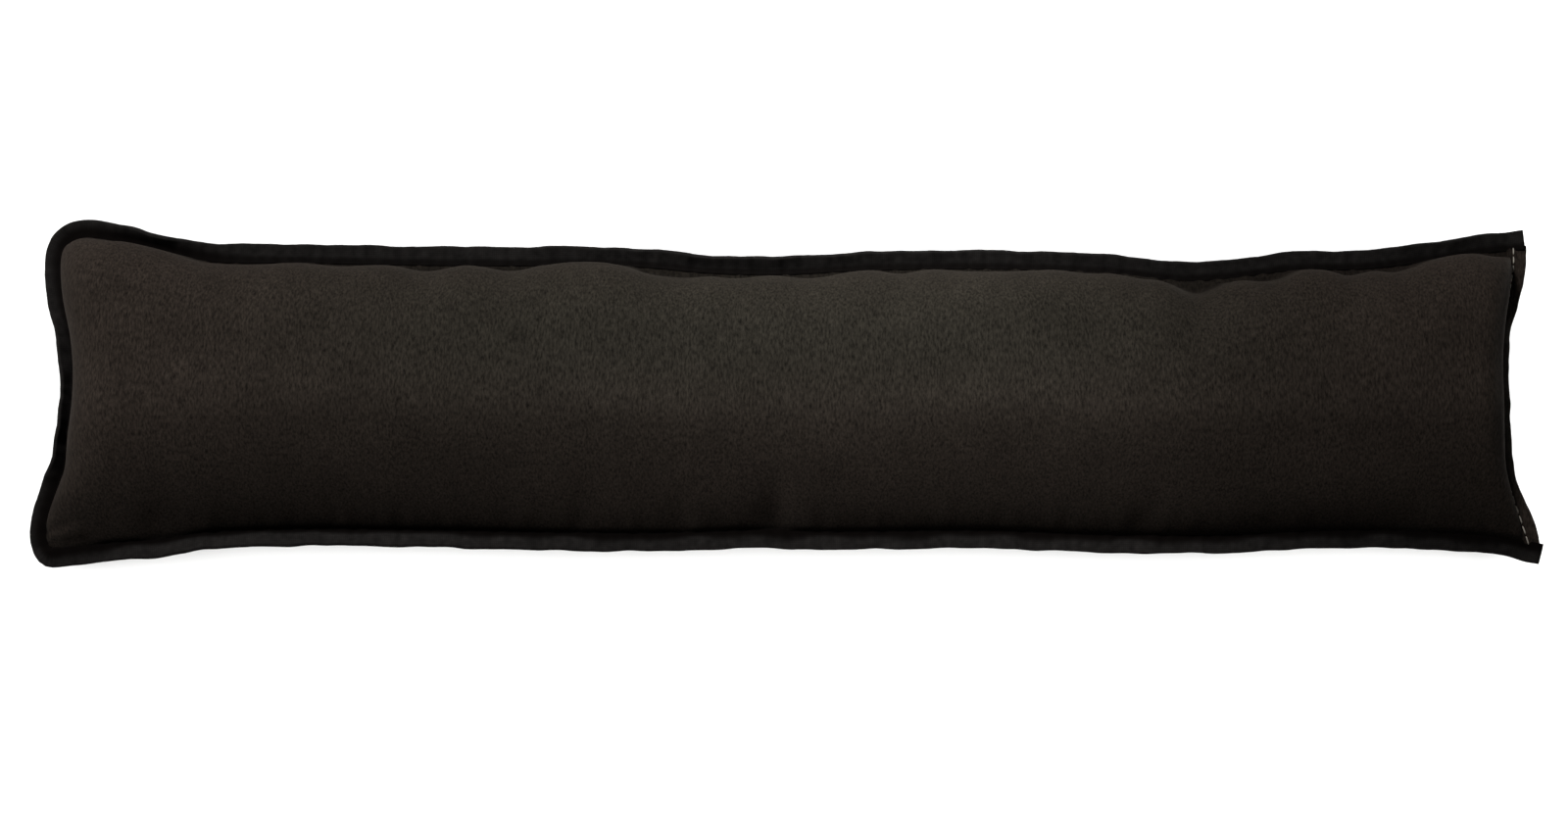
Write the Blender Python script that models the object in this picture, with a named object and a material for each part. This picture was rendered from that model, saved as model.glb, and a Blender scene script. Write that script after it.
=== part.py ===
"""Draught excluder: a long filled cloth tube with a flat welt, lying on its back.

Two long panels of brushed cloth are sewn together and filled. A darker strip, folded
double, is sewn into the seam along the back, around the left end and along the front.
The right-hand end is turned in and stitched shut after filling.

The frame: X runs along the tube, Y from the front edge to the back edge, Z up. The tube
lies on the surface z = 0, with the origin under its middle. Units are metres.
"""

import math
from collections import namedtuple

import bmesh
import bpy
import numpy as np

MM = 0.001

# The cushion laid flat, over its welt, and how it fills out: the seam's height over the
# surface, the upper face's rise over the seam, and the lower face's fall, which the surface
# flattens, with a soft turn where it lifts off.
LENGTH = 900 * MM
WIDTH = 211 * MM
SEAM_HEIGHT = 36 * MM
CROWN = 45 * MM
BELLY = 44 * MM
CORNER_DROP = 9 * MM
CORNER_REACH = 42 * MM
FLOOR_ROUND = 3 * MM

# The filling lies towards the back. The upper face slopes down to the front seam, from a soft
# knee near its middle: a share of the fall is a power of the way to the seam, and the rest is
# straight past the knee, which is given in shares of that way. Over the back seam and at both
# ends the face has a full shoulder: 2 is an ellipse, and a higher one is squarer. The back
# shoulder stands in from its seam, measured on a face of this half width.
FRONT_SLOPE = 2.45
FRONT_SHARE = 0.66
KNEE_START = 0.09
KNEE_LENGTH = 0.12
BACK_SHOULDER = 2.6
HALF_FACE = 80 * MM
END_SHOULDER = 2.0
LOWER_SLOPE = 1.5
LEFT_ROUND = 36 * MM
RIGHT_ROUND = 20 * MM
LOWER_ROUND = 74 * MM

# The closed end holds less filling: where it starts to thin, and by what share of the crown.
# A shallow valley runs the whole length of the upper face, a little behind its middle.
THIN_FROM = 0.74
THINNING = 0.12
VALLEY_DEPTH = 2.6 * MM
VALLEY_PLACE = 15 * MM
VALLEY_HALF_WIDTH = 24 * MM

# The sewn edges: the wall where body and strip meet, the two strips, and the length over
# which a strip turns down from the seam.
SEAM_WALL = 2.2 * MM
WELT_WIDTH = 10.5 * MM
WELT_BEAD = 3.2 * MM
CLOSING_WIDTH = 10.0 * MM
CLOSING_THICKNESS = 3.0 * MM
HINGE = 4 * MM
GAP = 0.3 * MM

# The cloths' colours, in linear light.
DARK_TAUPE = (0.028, 0.024, 0.019)
NEAR_BLACK = (0.013, 0.013, 0.012)
FELT_ROUGHNESS = 0.95

# How finely the faces are cut, and the share of the length that each closer-cut end takes.
ACROSS = 16
END_STEPS = 9
LONG_STEPS = 64
END_SHARE = LOWER_ROUND / LENGTH
LONG_SEAM_POINTS = 240
SHORT_SEAM_POINTS = 60

# The outer edge of each side: the place along it, how far it is drawn in from the flat
# cushion there, and how far the sewn strip hangs from level; below 0 it stands up.
# Millimetres and degrees.
EdgeRow = namedtuple("EdgeRow", "along drawn_in hang")
BACK_EDGE = [
    EdgeRow(-450, 1.0, -4), EdgeRow(-420, 0.0, -8), EdgeRow(-400, 5.2, -24), EdgeRow(-374, 12.6, -34),
    EdgeRow(-354, 15.4, -18), EdgeRow(-292, 17.0, -12), EdgeRow(-230, 18.2, -10), EdgeRow(-160, 18.7, -12),
    EdgeRow(-123, 18.9, -24), EdgeRow(-80, 21.0, -32), EdgeRow(-44, 24.8, -38), EdgeRow(0, 25.2, -34),
    EdgeRow(44, 22.6, -28), EdgeRow(123, 21.2, -22), EdgeRow(202, 24.4, -22), EdgeRow(241, 28.2, -16),
    EdgeRow(264, 26.8, -12), EdgeRow(305, 21.6, -8), EdgeRow(347, 20.4, -8), EdgeRow(388, 15.8, -22),
    EdgeRow(405, 12.9, -24), EdgeRow(422, 9.6, -8), EdgeRow(450, 6.4, -2),
]
FRONT_EDGE = [
    EdgeRow(-450, 0.2, 22), EdgeRow(-436, 0.4, 22), EdgeRow(-404, 3.2, 8), EdgeRow(-372, 5.4, -10),
    EdgeRow(-348, 9.2, -18), EdgeRow(-290, 12.0, -22), EdgeRow(-208, 11.2, -20), EdgeRow(-147, 9.6, -2),
    EdgeRow(-66, 9.4, 12), EdgeRow(-18, 11.0, 12), EdgeRow(17, 10.2, 12), EdgeRow(119, 10.9, 12),
    EdgeRow(201, 8.0, 12), EdgeRow(258, 8.2, 16), EdgeRow(332, 11.4, 20), EdgeRow(385, 10.4, 28),
    EdgeRow(415, 8.8, 32), EdgeRow(436, 5.6, 30), EdgeRow(450, 2.2, 28),
]
LEFT_EDGE = [
    EdgeRow(-105, -0.6, 22), EdgeRow(-86, 0.0, 24), EdgeRow(-74, 1.8, 8), EdgeRow(-60, 7.2, -14),
    EdgeRow(-46, 13.8, -36), EdgeRow(-30, 16.8, -54), EdgeRow(-10, 18.7, -50), EdgeRow(10, 18.2, -46),
    EdgeRow(31, 15.0, -40), EdgeRow(52, 8.2, -20), EdgeRow(70, 4.6, -8), EdgeRow(105, 3.6, -4),
]
RIGHT_EDGE = [
    EdgeRow(-105, 0.9, 2), EdgeRow(-92, 0.0, 4), EdgeRow(-80, 3.0, 10), EdgeRow(-64, 9.6, 34),
    EdgeRow(-48, 16.2, 56), EdgeRow(-28, 19.6, 74), EdgeRow(-8, 20.2, 78), EdgeRow(18, 19.4, 78),
    EdgeRow(40, 14.6, 62), EdgeRow(58, 7.2, 28), EdgeRow(74, 3.0, 10), EdgeRow(105, 4.2, 4),
]

# How far the face's full shoulder stands in from the back seam: a narrow ledge of flat
# cloth, widest where the seam is gathered. Millimetres.
LedgeRow = namedtuple("LedgeRow", "along ledge")
LEDGE = [
    LedgeRow(-450, 2.4), LedgeRow(-412, 1.6), LedgeRow(-380, 0.6), LedgeRow(-345, 2.6), LedgeRow(-270, 3.2),
    LedgeRow(-214, 4.8), LedgeRow(-190, 3.6), LedgeRow(-163, 4.4), LedgeRow(-120, 1.4), LedgeRow(-72, 6.2),
    LedgeRow(-30, 4.8), LedgeRow(16, 4.6), LedgeRow(68, 3.8), LedgeRow(142, 3.8), LedgeRow(220, 4.6),
    LedgeRow(244, 10.6), LedgeRow(268, 5.6), LedgeRow(295, 5.6), LedgeRow(316, 3.0), LedgeRow(350, 5.0),
    LedgeRow(384, 2.0), LedgeRow(404, 0.8), LedgeRow(426, 4.0), LedgeRow(450, 4.4),
]

# The rounded corners at the left end: how much of each side the curve takes, on the
# seam, and how full it is (1 is round, lower cuts the corner straighter).
Corner = namedtuple("Corner", "long_side short_side fullness")
BACK_LEFT = Corner(16 * MM, 15 * MM, 1.0)
FRONT_LEFT = Corner(5 * MM, 11 * MM, 0.45)

# Where the seam gathers the cloth: the side and the place along it, then the depth of
# the dimple, half its width along the seam, and how far in from the seam it is deepest.
Pucker = namedtuple("Pucker", "side along depth half_width reach")
PUCKERS = [
    Pucker("back", -361, 1.6, 14, 9), Pucker("back", -214, 1.6, 10, 9), Pucker("back", -163, 1.4, 9, 9),
    Pucker("back", -68, 2.4, 18, 12), Pucker("back", 14, 1.4, 12, 9), Pucker("back", 68, 0.9, 8, 8),
    Pucker("back", 212, 0.9, 10, 9), Pucker("back", 245, 6.0, 16, 15), Pucker("back", 294, 1.8, 9, 9),
    Pucker("back", 338, 1.8, 9, 9), Pucker("back", 366, 1.6, 9, 9), Pucker("back", 424, 1.4, 12, 9),
    Pucker("front", -366, 3.0, 15, 12), Pucker("front", -117, 1.2, 10, 8), Pucker("front", -15, 2.4, 10, 8),
    Pucker("front", -62, 1.0, 8, 7), Pucker("front", 213, 1.8, 11, 9), Pucker("front", 286, 1.2, 11, 8),
    Pucker("front", 368, 1.6, 12, 8),
]

# Soft troughs in the upper face, from one end to the other, and broad swells of filling.
Trough = namedtuple("Trough", "x0 y0 x1 y1 depth half_width")
TROUGHS = [
    Trough(248, 66, 268, 26, 4.5, 11),
    Trough(-14, -78, -4, -44, 1.8, 8),
    Trough(-118, -76, -112, -50, 0.9, 9),
    Trough(-62, -74, -58, -54, 0.8, 8),
    Trough(214, -76, 222, -54, 0.9, 9),
]
Swell = namedtuple("Swell", "x y height half_length half_width")
SWELLS = [
    Swell(-380, 35, -3.6, 99, 54), Swell(-324, -6, 1.4, 43, 20), Swell(-209, -32, 1.3, 69, 27),
    Swell(-78, 3, -2.9, 99, 54), Swell(-45, -57, -1.5, 61, 20), Swell(34, -13, -3.6, 73, 20),
    Swell(86, 31, 2.1, 61, 23), Swell(112, 30, 2.4, 35, 54), Swell(116, -20, 1.9, 24, 24),
    Swell(194, -28, 2.8, 99, 26), Swell(198, 46, -4.2, 36, 34), Swell(302, 47, -2.1, 38, 54),
    Swell(306, 49, -1.9, 39, 26), Swell(382, 0, 2.2, 42, 34),
]


def read_row(rows, column, at):
    """A smooth curve through one column of an edge table, read at the places `at`."""
    places = np.array([row.along for row in rows]) * MM
    values = np.array([getattr(row, column) for row in rows], float)
    slopes = np.gradient(values, places)
    at = np.clip(at, places[0], places[-1])
    k = np.clip(np.searchsorted(places, at) - 1, 0, len(places) - 2)
    span = places[k + 1] - places[k]
    t = (at - places[k]) / span
    start = (1 + 2 * t) * (1 - t) ** 2 * values[k] + t * (1 - t) ** 2 * span * slopes[k]
    return start + t * t * (3 - 2 * t) * values[k + 1] + t * t * (t - 1) * span * slopes[k + 1]


def strip_line(hang, width, count=33):
    """A sewn strip seen end on: out and down from the seam, turning over the hinge length."""
    r = np.linspace(0, width, count)
    angle = np.multiply.outer(np.asarray(hang, float), np.clip(r / HINGE, 0, 1))
    step = np.diff(r)
    middle = (angle[..., 1:] + angle[..., :-1]) / 2
    out = np.zeros(angle.shape)
    down = np.zeros(angle.shape)
    out[..., 1:] = np.cumsum(np.cos(middle) * step, axis=-1)
    down[..., 1:] = np.cumsum(np.sin(middle) * step, axis=-1)
    return r, angle, out, down


def seam_place(rows, at, half_size, width):
    """How far from the middle line the seam runs: the outer edge less the strip's reach."""
    hang = np.radians(read_row(rows, "hang", at))
    reach = strip_line(hang, width)[2][..., -1]
    return half_size - read_row(rows, "drawn_in", at) * MM - reach


def back_seam(x):
    return seam_place(BACK_EDGE, x, WIDTH / 2, WELT_WIDTH)


def front_seam(x):
    return -seam_place(FRONT_EDGE, x, WIDTH / 2, WELT_WIDTH)


def left_seam(y):
    return -seam_place(LEFT_EDGE, y, LENGTH / 2, WELT_WIDTH)


def right_seam(y):
    return seam_place(RIGHT_EDGE, y, LENGTH / 2, CLOSING_WIDTH)


def meeting_point(long_seam, short_seam, x, y):
    """Where a long seam and an end seam would meet in a sharp corner."""
    for _ in range(12):
        y = float(long_seam(np.array(x)))
        x = float(short_seam(np.array(y)))
    return np.array((x, y))


def corner_curve(start, corner, end, fullness, count=9):
    """A conic from one side of a corner to the other, pulled towards the corner."""
    t = np.linspace(0, 1, count)[:, None]
    a, c, b = (1 - t) ** 2, 2 * t * (1 - t) * fullness, t * t
    return (a * start + c * corner + b * end) / (a + c + b)


def seam_path():
    """The welt's seam, from the right-hand tip of the back to that of the front.

    Also gives the numbers of the points in the middle of its two rounded corners.
    """
    back_left = meeting_point(back_seam, left_seam, -LENGTH / 2, WIDTH / 2)
    front_left = meeting_point(front_seam, left_seam, -LENGTH / 2, -WIDTH / 2)
    tip_back = LENGTH / 2 - read_row(RIGHT_EDGE, "drawn_in", WIDTH / 2 - WELT_WIDTH) * MM
    tip_front = LENGTH / 2 - read_row(RIGHT_EDGE, "drawn_in", -WIDTH / 2 + WELT_WIDTH) * MM
    x_back = np.linspace(tip_back, back_left[0] + BACK_LEFT.long_side, LONG_SEAM_POINTS)
    y_left = np.linspace(back_left[1] - BACK_LEFT.short_side, front_left[1] + FRONT_LEFT.short_side,
                         SHORT_SEAM_POINTS)
    x_front = np.linspace(front_left[0] + FRONT_LEFT.long_side, tip_front, LONG_SEAM_POINTS)
    back = np.stack((x_back, back_seam(x_back)), axis=-1)
    left = np.stack((left_seam(y_left), y_left), axis=-1)
    front = np.stack((x_front, front_seam(x_front)), axis=-1)
    turn_back = corner_curve(back[-1], back_left, left[0], BACK_LEFT.fullness)
    turn_front = corner_curve(left[-1], front_left, front[0], FRONT_LEFT.fullness)
    path = np.concatenate((back, turn_back[1:-1], left, turn_front[1:-1], front))
    middle_back = len(back) + len(turn_back) // 2 - 1
    middle_front = len(back) + len(turn_back) - 2 + len(left) + len(turn_front) // 2 - 1
    return path, middle_back, middle_front


PATH, BACK_LEFT_AT, FRONT_LEFT_AT = seam_path()
BACK_RIGHT_POINT = meeting_point(back_seam, right_seam, LENGTH / 2, WIDTH / 2)
FRONT_RIGHT_POINT = meeting_point(front_seam, right_seam, LENGTH / 2, -WIDTH / 2)


def seam_height(x, y):
    """The seam is level along the sides and drops towards the unfilled corners."""
    drop = 0
    for corner in (PATH[BACK_LEFT_AT], PATH[FRONT_LEFT_AT], BACK_RIGHT_POINT, FRONT_RIGHT_POINT):
        drop = drop + np.exp(-np.hypot(x - corner[0], y - corner[1]) / CORNER_REACH)
    return SEAM_HEIGHT - CORNER_DROP * drop


def body_plan(u, v):
    """A place in the body's outline: u from the left end to the right, v from front to back.

    The four seams are blended, so that the edges of the grid lie on them.
    """
    back = PATH[:BACK_LEFT_AT + 1][::-1]
    left = PATH[BACK_LEFT_AT:FRONT_LEFT_AT + 1][::-1]
    front = PATH[FRONT_LEFT_AT:]
    x_back = back[0, 0] + (BACK_RIGHT_POINT[0] - back[0, 0]) * u
    x_front = front[0, 0] + (FRONT_RIGHT_POINT[0] - front[0, 0]) * u
    y_back = np.interp(x_back, back[:, 0], back[:, 1])
    y_front = np.interp(x_front, front[:, 0], front[:, 1])
    y_left = left[0, 1] + (left[-1, 1] - left[0, 1]) * v
    y_right = FRONT_RIGHT_POINT[1] + (BACK_RIGHT_POINT[1] - FRONT_RIGHT_POINT[1]) * v
    x_left = np.interp(y_left, left[:, 1], left[:, 0])
    x_right = right_seam(y_right)
    x = x_left * (1 - u) + x_right * u
    y = y_front * (1 - v) + y_back * v
    x += x_front * (1 - v) + x_back * v
    y += y_left * (1 - u) + y_right * u
    x -= (front[0, 0] * (1 - u) + FRONT_RIGHT_POINT[0] * u) * (1 - v)
    x -= (back[0, 0] * (1 - u) + BACK_RIGHT_POINT[0] * u) * v
    y -= (front[0, 1] * (1 - u) + FRONT_RIGHT_POINT[1] * u) * (1 - v)
    y -= (back[0, 1] * (1 - u) + BACK_RIGHT_POINT[1] * u) * v
    return x, y


def pucker_dimples(x, y):
    """How deep the seam's gathers press the cloth in, at each place of the plan."""
    to_back = np.maximum(back_seam(x) - y, 0)
    to_front = np.maximum(y - front_seam(x), 0)
    total = 0
    for pucker in PUCKERS:
        inward = (to_back if pucker.side == "back" else to_front) / (pucker.reach * MM)
        across = (x - pucker.along * MM) / (pucker.half_width * MM)
        total = total + pucker.depth * MM * np.exp(-across ** 2) * inward * np.exp(1 - inward)
    return total


def trough_depth(x, y):
    """The soft creases of the upper face: a rounded groove about each one's line."""
    total = 0
    for trough in TROUGHS:
        start = np.array((trough.x0, trough.y0)) * MM
        run = np.array((trough.x1, trough.y1)) * MM - start
        along = ((x - start[0]) * run[0] + (y - start[1]) * run[1]) / (run @ run)
        along = np.clip(along, 0, 1)
        off = np.hypot(x - start[0] - along * run[0], y - start[1] - along * run[1])
        fade = np.cos(along * math.pi / 2) ** 0.7
        total = total + trough.depth * MM * fade * np.exp(-(off / (trough.half_width * MM)) ** 2)
    return total


def swell_height(x, y):
    """The filling's broad lumps."""
    total = 0
    for swell in SWELLS:
        far = ((x / MM - swell.x) / swell.half_length) ** 2 + ((y / MM - swell.y) / swell.half_width) ** 2
        total = total + swell.height * MM * np.exp(-far)
    return total


def shoulder(place, squareness):
    """How far a full edge has risen: 1 at place 0, and 0 at the seam, place 1."""
    return (1 - np.clip(place, 0, 1) ** squareness) ** (1 / squareness)


def pulled_in(x):
    """How far the back shoulder stands in from the seam."""
    return read_row(LEDGE, "ledge", x) * MM


def eased_run(t):
    """The straight part of the front's fall: none before the knee, then a slope that eases in."""
    c = np.clip((t - KNEE_START) / KNEE_LENGTH, 0, 1)
    return KNEE_LENGTH * (c ** 3 - c ** 4 / 2) + np.maximum(t - KNEE_START - KNEE_LENGTH, 0)


def front_slope(t):
    """How far the front has risen: 1 on the middle line, t = 0, and 0 at the seam, t = 1."""
    return 1 - FRONT_SHARE * t ** FRONT_SLOPE - (1 - FRONT_SHARE) * eased_run(t) / eased_run(1)


def upper_rise(u, turn, x):
    """The share of the crown that the upper face reaches."""
    across = np.cos(turn)
    back = shoulder(-across * (1 + pulled_in(x) / HALF_FACE), BACK_SHOULDER)
    across = np.where(across > 0, front_slope(np.clip(across, 0, 1)), back)
    left = shoulder(1 - u * LENGTH / LEFT_ROUND, END_SHOULDER)
    right = shoulder(1 - (1 - u) * LENGTH / RIGHT_ROUND, END_SHOULDER)
    thin = 1 - THINNING * np.clip((u - THIN_FROM) / (1 - THIN_FROM), 0, 1)
    return across * left * right * thin


def lower_rise(u, turn):
    """The share of the belly that the lower face reaches."""
    from_end = np.clip(np.minimum(u, 1 - u) * LENGTH / LOWER_ROUND, 0, 1)
    return np.sin(turn) ** LOWER_SLOPE * shoulder(1 - from_end, 2)


def body_shares():
    """Where the body's grid is cut: shares of its length, and the turn across its width."""
    ends = END_SHARE * (1 - np.cos(np.linspace(0, math.pi / 2, END_STEPS + 1)))
    middle = np.linspace(END_SHARE, 1 - END_SHARE, LONG_STEPS + 1)[1:-1]
    return np.concatenate((ends, middle, 1 - ends[::-1])), np.linspace(0, math.pi, ACROSS + 1)


def body_face(upper):
    """The upper or the lower face of the filled body, as a grid of points."""
    u, turn = body_shares()
    u, turn = u[:, None], turn[None, :]
    x, y = body_plan(u, (1 - np.cos(turn)) / 2)
    seam = seam_height(x, y)
    dimples = pucker_dimples(x, y)
    if upper:
        rise = upper_rise(u, turn, x)
        valley = VALLEY_DEPTH * np.exp(-((y - VALLEY_PLACE) / VALLEY_HALF_WIDTH) ** 2)
        relief = (swell_height(x, y) - valley) * rise - dimples - trough_depth(x, y)
        z = seam + SEAM_WALL / 2 + np.maximum(CROWN * rise + relief * (rise > 0), 0)
    else:
        rise = lower_rise(u, turn)
        z = seam - SEAM_WALL / 2 - np.maximum(BELLY * rise - dimples * (rise > 0), 0)
        near_floor = np.maximum(z + FLOOR_ROUND, 0) ** 2 / (4 * FLOOR_ROUND)
        z = np.where(z < FLOOR_ROUND, near_floor, z)
    return np.stack(np.broadcast_arrays(x, y, z), axis=-1)


def grid_quads(rows, columns, first=0):
    """The four-sided faces of a grid of points that is stored row after row."""
    i, j = np.meshgrid(np.arange(rows - 1), np.arange(columns - 1), indexing="ij")
    a = (first + i * columns + j).ravel()
    return np.stack((a, a + columns, a + columns + 1, a + 1), axis=-1)


def border(rows, columns, first=0):
    """The numbers of a grid's outer points, once round."""
    near = np.arange(rows) * columns
    far = np.arange(columns - 1) + (rows - 1) * columns + 1
    back = (np.arange(rows - 1) * columns + columns - 1)[::-1]
    home = np.arange(columns - 2, 0, -1)
    return first + np.concatenate((near, far, back, home))


def make_object(name, points, faces, colour, roughness):
    """A closed mesh object with a plain cloth material of its own."""
    mesh = bpy.data.meshes.new(name)
    mesh.from_pydata([tuple(point) for point in points], [], [tuple(face) for face in faces])
    shell = bmesh.new()
    shell.from_mesh(mesh)
    bmesh.ops.recalc_face_normals(shell, faces=shell.faces)
    shell.to_mesh(mesh)
    shell.free()
    cloth = bpy.data.materials.new(name + "_cloth")
    cloth.use_nodes = True
    shader = cloth.node_tree.nodes["Principled BSDF"]
    shader.inputs["Base Color"].default_value = (*colour, 1)
    shader.inputs["Roughness"].default_value = roughness
    shader.inputs["Metallic"].default_value = 0
    mesh.materials.append(cloth)
    mesh.shade_smooth()
    obj = bpy.data.objects.new(name, mesh)
    bpy.context.scene.collection.objects.link(obj)
    return obj


def filled_body():
    """The two panels and their filling: an upper and a lower face joined by the seam's wall."""
    upper = body_face(True)
    lower = body_face(False)
    rows, columns = upper.shape[:2]
    count = rows * columns
    points = np.concatenate((upper.reshape(-1, 3), lower.reshape(-1, 3)))
    top_rim = border(rows, columns)
    low_rim = top_rim + count
    wall = np.stack((top_rim, low_rim, np.roll(low_rim, -1), np.roll(top_rim, -1)), axis=-1)
    upper_faces = grid_quads(rows, columns)
    lower_faces = grid_quads(rows, columns, count)[:, ::-1]
    return points, np.concatenate((upper_faces, lower_faces, wall[:, ::-1]))


def welt_section(width, root, bead):
    """A folded strip end on: thin where it is sewn in, with a soft bead at its folded edge."""
    shares = np.array((0.0, 0.35, 0.72, 0.93))
    half = np.array((root, root * 1.05, bead * 0.92, bead * 0.78)) / 2
    r = np.concatenate((shares, [1.0], shares[::-1])) * width
    n = np.concatenate((half, [0.0], -half[::-1]))
    return r, n


def sweep(base, outward, height, hang, section, width):
    """Carry a strip's section along a path; outward is the path's level direction from the seam."""
    r, n = section
    reach, angle, out, down = strip_line(hang, width)
    points = np.empty((len(base), len(r), 3))
    for k, (rk, nk) in enumerate(zip(r, n)):
        share = rk / width * (len(reach) - 1)
        low = min(int(share), len(reach) - 2)
        part = share - low
        turn = angle[:, low] * (1 - part) + angle[:, low + 1] * part
        go = out[:, low] * (1 - part) + out[:, low + 1] * part + nk * np.sin(turn)
        fall = down[:, low] * (1 - part) + down[:, low + 1] * part - nk * np.cos(turn)
        points[:, k, :2] = base + outward * (GAP + go)[:, None]
        points[:, k, 2] = height - fall
    rows, columns = points.shape[:2]
    faces = [list(face) for face in grid_quads(rows, columns)]
    closing = [(i * columns + columns - 1, (i + 1) * columns + columns - 1, (i + 1) * columns, i * columns)
               for i in range(rows - 1)]
    caps = [list(range(columns)), [(rows - 1) * columns + k for k in range(columns)][::-1]]
    return points.reshape(-1, 3), faces + closing + caps


def edge_welt():
    """The folded strip on three sides, cut where the body's grid meets the seam."""
    run = np.concatenate(([0], np.cumsum(np.hypot(*np.diff(PATH, axis=0).T))))
    u, turn = body_shares()
    corner_back, corner_front = PATH[BACK_LEFT_AT], PATH[FRONT_LEFT_AT]
    x_back = corner_back[0] + (BACK_RIGHT_POINT[0] - corner_back[0]) * u[::-1]
    x_front = corner_front[0] + (FRONT_RIGHT_POINT[0] - corner_front[0]) * u
    y_left = corner_front[1] + (corner_back[1] - corner_front[1]) * (1 - np.cos(turn[::-1])) / 2
    back, left, front = np.split(np.arange(len(PATH)), (BACK_LEFT_AT + 1, FRONT_LEFT_AT))
    at_back = np.interp(-x_back, -PATH[back, 0], run[back])
    at_left = np.interp(-y_left, -PATH[left, 1], run[left])
    at_front = np.interp(x_front, PATH[front, 0], run[front])
    tips = ([0, at_back[0] / 2], [(at_front[-1] + run[-1]) / 2, run[-1]])
    at = np.concatenate((tips[0], at_back, at_left[1:-1], at_front, tips[1]))
    base, ahead, behind = (np.stack([np.interp(at + step, run, PATH[:, k]) for k in (0, 1)], axis=-1)
                           for step in (0, HINGE / 2, -HINGE / 2))
    along = (ahead - behind) / np.hypot(*(ahead - behind).T)[:, None]
    outward = np.stack((along[:, 1], -along[:, 0]), axis=-1)
    hang = np.where(at <= at_back[-1], read_row(BACK_EDGE, "hang", base[:, 0]),
                    np.where(at >= at_front[0], read_row(FRONT_EDGE, "hang", base[:, 0]),
                             read_row(LEFT_EDGE, "hang", base[:, 1])))
    section = welt_section(WELT_WIDTH, SEAM_WALL, WELT_BEAD)
    return sweep(base, outward, seam_height(*base.T), np.radians(hang), section, WELT_WIDTH)


def closing_edge():
    """The turned-in end: a flat flange between the two ends of the welt."""
    share = (1 - np.cos(body_shares()[1])) / 2
    y = FRONT_RIGHT_POINT[1] + (BACK_RIGHT_POINT[1] - FRONT_RIGHT_POINT[1]) * share
    base = np.stack((right_seam(y), y), axis=-1)
    outward = np.tile((1.0, 0.0), (len(y), 1))
    hang = np.radians(read_row(RIGHT_EDGE, "hang", y))
    section = welt_section(CLOSING_WIDTH, SEAM_WALL, CLOSING_THICKNESS)
    points, faces = sweep(base, outward, seam_height(*base.T), hang, section, CLOSING_WIDTH)
    grid = points.reshape(len(y), -1, 3)
    back, front = back_seam(grid[..., 0]) - GAP, front_seam(grid[..., 0]) + GAP
    grid[..., 1] = front + (back - front) * share[:, None]
    return points, faces


def build():
    for old in list(bpy.data.objects):
        bpy.data.objects.remove(old, do_unlink=True)
    pieces = {
        "filled_body": (*filled_body(), DARK_TAUPE, FELT_ROUGHNESS),
        "edge_welt": (*edge_welt(), NEAR_BLACK, FELT_ROUGHNESS),
        "closing_edge": (*closing_edge(), DARK_TAUPE, FELT_ROUGHNESS),
    }
    plan = np.concatenate([points[:, :2] for points, *_ in pieces.values()])
    middle = (plan.min(axis=0) + plan.max(axis=0)) / 2
    for name, (points, faces, colour, roughness) in pieces.items():
        points[:, :2] -= middle
        make_object(name, points, faces, colour, roughness)


build()
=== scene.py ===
"""The looks of a draught excluder: a long tube of dark felt-like cloth with a folded welt.

It lies on its back on a pale floor, seen from straight above and a little to the front.
The frame: X along the tube, Y to its back edge, Z up, in metres.
"""

import math
from collections import namedtuple

import bpy
import numpy as np
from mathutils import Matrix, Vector


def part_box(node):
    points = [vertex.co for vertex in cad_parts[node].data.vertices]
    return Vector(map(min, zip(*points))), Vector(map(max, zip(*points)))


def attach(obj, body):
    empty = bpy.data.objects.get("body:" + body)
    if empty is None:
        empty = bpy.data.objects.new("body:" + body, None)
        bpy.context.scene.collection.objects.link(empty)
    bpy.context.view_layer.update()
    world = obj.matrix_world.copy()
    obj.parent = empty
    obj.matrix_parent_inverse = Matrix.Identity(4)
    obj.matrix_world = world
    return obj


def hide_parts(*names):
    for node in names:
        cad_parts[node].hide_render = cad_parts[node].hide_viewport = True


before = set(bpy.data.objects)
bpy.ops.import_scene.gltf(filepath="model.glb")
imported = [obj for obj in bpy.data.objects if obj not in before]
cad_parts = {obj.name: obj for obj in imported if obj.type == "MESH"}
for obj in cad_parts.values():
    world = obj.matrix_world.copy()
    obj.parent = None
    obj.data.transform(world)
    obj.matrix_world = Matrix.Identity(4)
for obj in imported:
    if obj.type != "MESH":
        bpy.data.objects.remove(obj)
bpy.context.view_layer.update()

ROOT = "root"
MM = 0.001

# Camera: the photograph looks down on the cushion's face, with the front edge a touch
# nearer, and its full width is the cushion's length and a narrow margin.
PHOTO_WIDTH = 1600
METRES_PER_PIXEL = 0.900 / 1540
LENS = 60
SENSOR = 36
CAMERA_HEIGHT_ANGLE = math.radians(82)
CAMERA_AIM = Vector((-0.0006, -0.0158, 0.034))

scene = bpy.context.scene
camera = bpy.data.objects.new("camera", bpy.data.cameras.new("camera"))
scene.collection.objects.link(camera)
camera.data.lens = LENS
camera.data.sensor_width = SENSOR
towards_camera = Vector((0, -math.cos(CAMERA_HEIGHT_ANGLE), math.sin(CAMERA_HEIGHT_ANGLE)))
camera.location = CAMERA_AIM + towards_camera * (PHOTO_WIDTH * METRES_PER_PIXEL * LENS / SENSOR)
camera.rotation_euler = (-towards_camera).to_track_quat("-Z", "Y").to_euler()
scene.camera = camera
scene.view_settings.view_transform = "Standard"


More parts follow.
